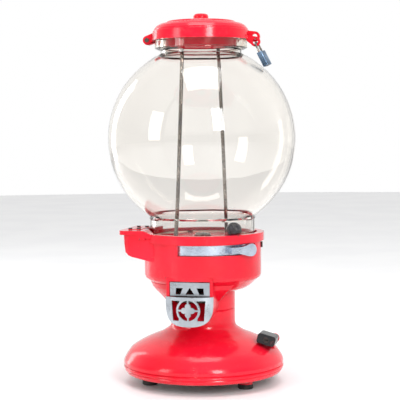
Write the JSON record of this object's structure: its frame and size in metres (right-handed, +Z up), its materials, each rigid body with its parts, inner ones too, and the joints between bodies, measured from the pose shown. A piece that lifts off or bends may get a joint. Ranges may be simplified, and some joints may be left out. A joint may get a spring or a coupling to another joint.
{
  "type": "coin-operated ball vendor",
  "caption": "Countertop coin vendor with a glass globe, cast body, thumb lever, flap chute, hinged lid and padlocks.",
  "frame": {"origin": "on the floor under the middle of the base", "axes": "+Z up; chute and lever window face -Y, coin shelf and lid hinge at -X, padlocks at +X"},
  "size_m": [0.2032, 0.2032, 0.4],
  "materials": {
    "red_enamel": "glossy red enamel on cast iron",
    "rubber": "black rubber",
    "pale_gasket": "pale rubber gasket",
    "steel": "plain steel",
    "dark_steel": "oxidised steel",
    "brass": "brass",
    "cast_aluminium": "cast, tumbled",
    "nickel": "worn nickel plate",
    "glass": "clear glass with a faint warm tint",
    "gum": "glossy dark ball",
    "blue_steel": "blued steel laminations",
    "black_enamel": "black enamel"
  },
  "bodies": {
    "housing": {"base_casting": "red_enamel", "rubber_feet": "rubber", "foot_screws": "steel", "cash_plate": "steel", "cash_staple": "red_enamel", "tie_bolt": "steel", "tie_nut": "steel", "body_casting": "red_enamel", "coin_shelf": "red_enamel", "coin_entry_plate": "red_enamel", "coin_plate_screws": "dark_steel", "coin_track": "steel", "side_screw": "dark_steel", "hopper_plate": "red_enamel", "bed_plate": "steel", "bed_spacers": "brass", "bed_screws": "steel", "spindle": "steel", "spindle_nut": "steel", "spring_retainer": "steel", "return_spring": "steel", "backstop_spring": "steel", "ball_slide": "steel", "chute_cup": "cast_aluminium", "cup_rivets": "cast_aluminium", "flap_hinge_pin": "steel", "glass_globe": "glass", "globe_gasket_bottom": "pale_gasket", "globe_gasket_top": "pale_gasket", "tie_rods": "steel", "rod_nuts_bottom": "steel", "rod_nuts_top": "steel", "ball_gum": "gum", "globe_collar": "red_enamel"},
    "lever": {"lever_carrier": "nickel", "lever_handle": "nickel", "lever_rivets": "steel", "pawl_pin": "steel", "pawl_spring": "steel"},
    "pawl": {"drive_pawl": "steel"},
    "wheel": {"measure_wheel": "cast_aluminium", "ratchet_wheel": "steel"},
    "flap": {"chute_flap": "cast_aluminium"},
    "lid": {"lid": "red_enamel", "lid_hinge_bar": "steel"},
    "top_shackle": {"top_lock_shackle": "steel"},
    "top_case": {"top_lock_case": "blue_steel"},
    "top_plug": {"top_lock_plug": "brass"},
    "base_shackle": {"base_lock_shackle": "steel"},
    "base_case": {"base_lock_case": "black_enamel"},
    "base_plug": {"base_lock_plug": "dark_steel"}
  },
  "joints": [
    {"name": "lever_swing", "type": "hinge", "parent": "housing", "child": "lever", "pos_m": [0, 0, 0.13], "axis": [0, 0, -1], "range_deg": [0, 50], "stiffness_Nm_per_rad": 0.02, "springref_deg": -28.65, "deforming": ["return_spring"]},
    {"name": "wheel_turn", "type": "hinge", "parent": "housing", "child": "wheel", "pos_m": [0, 0, 0.148], "axis": [0, 0, -1], "range_deg": [0, 50], "deforming": ["backstop_spring"]},
    {"name": "pawl_lift", "type": "hinge", "parent": "lever", "child": "pawl", "pos_m": [-0.01247, 0.02674, 0.1336], "axis": [0, 0, 1], "range_deg": [0, 14], "stiffness_Nm_per_rad": 0.005, "springref_deg": -11.46, "deforming": ["pawl_spring"]},
    {"name": "flap_swing", "type": "hinge", "parent": "housing", "child": "flap", "pos_m": [0, -0.0578, 0.1134], "axis": [1, 0, 0], "range_deg": [0, 70]},
    {"name": "lid_hinge", "type": "hinge", "parent": "housing", "child": "lid", "pos_m": [-0.059, 0, 0.3726], "axis": [0, -1, 0], "range_deg": [0, 100]},
    {"name": "top_lock_swing", "type": "hinge", "parent": "housing", "child": "top_shackle", "pos_m": [0.0606, -0.0035, 0.3682], "axis": [0, -1, 0], "range_deg": [0, 60]},
    {"name": "top_lock_release", "type": "slide", "parent": "top_shackle", "child": "top_case", "axis": [0.454, 0, -0.891], "range_m": [0, 0.004]},
    {"name": "top_plug_turn", "type": "hinge", "parent": "top_case", "child": "top_plug", "pos_m": [0.07222, -0.0035, 0.34539], "axis": [0.454, 0, -0.891], "range_deg": [0, 90]},
    {"name": "base_lock_swing", "type": "hinge", "parent": "housing", "child": "base_shackle", "pos_m": [0.0792, 0, 0.0496], "axis": [0, 1, 0], "range_deg": [0, 60]},
    {"name": "base_lock_release", "type": "slide", "parent": "base_shackle", "child": "base_case", "axis": [0, -1, 0], "range_m": [0, 0.004]},
    {"name": "base_plug_turn", "type": "hinge", "parent": "base_case", "child": "base_plug", "pos_m": [0.0739, -0.021, 0.05105], "axis": [0, -1, 0], "range_deg": [0, 90]}
  ],
  "couplings": [
    {"joint": "wheel_turn", "follows": "lever_swing", "ratio": 1}
  ]
}
